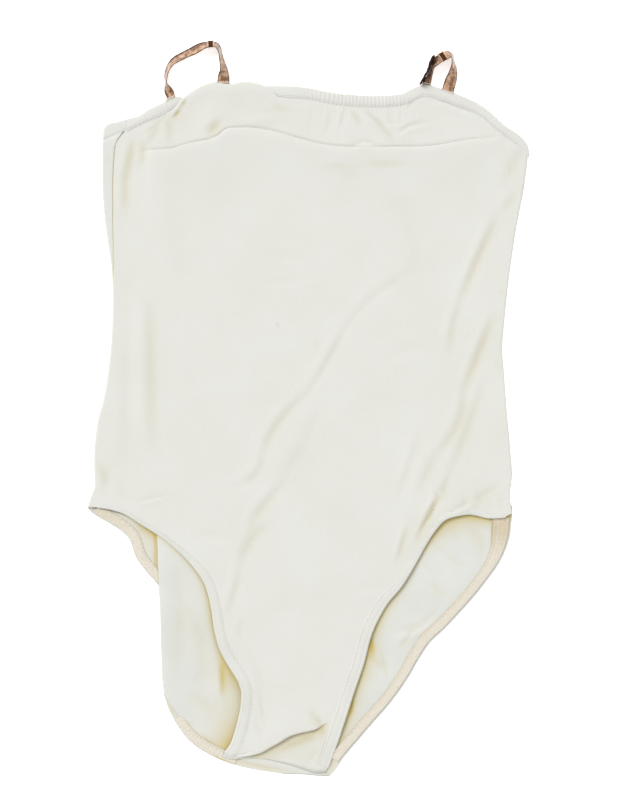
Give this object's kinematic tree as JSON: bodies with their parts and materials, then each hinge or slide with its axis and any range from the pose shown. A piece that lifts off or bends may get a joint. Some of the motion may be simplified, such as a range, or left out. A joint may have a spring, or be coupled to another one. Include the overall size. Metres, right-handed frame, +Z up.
{
  "type": "camisole leotard",
  "caption": "Stretch-jersey camisole leotard laid flat with its front up: straight gathered neckline, high-cut leg openings and narrow adjustable satin shoulder straps.",
  "frame": {"origin": "centre of the bounding box in plan, at the underside that lies on the surface", "axes": "+X to the right in the picture, which is the garment's own left; +Y up the body from crotch to straps; +Z up off the surface, out of the front"},
  "size_m": [0.3736, 0.625, 0.0131],
  "materials": {
    "cream_jersey": "soft semi-matte stretch knit",
    "neck_casing": "stretch knit turned over elastic, gathered",
    "beige_elastic": "ribbed knitted elastic, matt",
    "tan_satin_elastic": "satin-faced elastic ribbon",
    "slider_metal": "tan-coated metal"
  },
  "bodies": {
    "root": {"front_panel": "cream_jersey", "back_panel": "cream_jersey", "neck_casing_left": "neck_casing", "neck_casing_right": "neck_casing", "neck_casing_back": "neck_casing", "leg_elastic_right_back": "beige_elastic", "leg_elastic_left_hip": "beige_elastic", "leg_elastic_left_crotch": "beige_elastic", "strap_left": "tan_satin_elastic", "strap_right": "tan_satin_elastic", "strap_right_return": "tan_satin_elastic", "slider_left": "slider_metal", "slider_right": "slider_metal"}
  },
  "joints": []
}
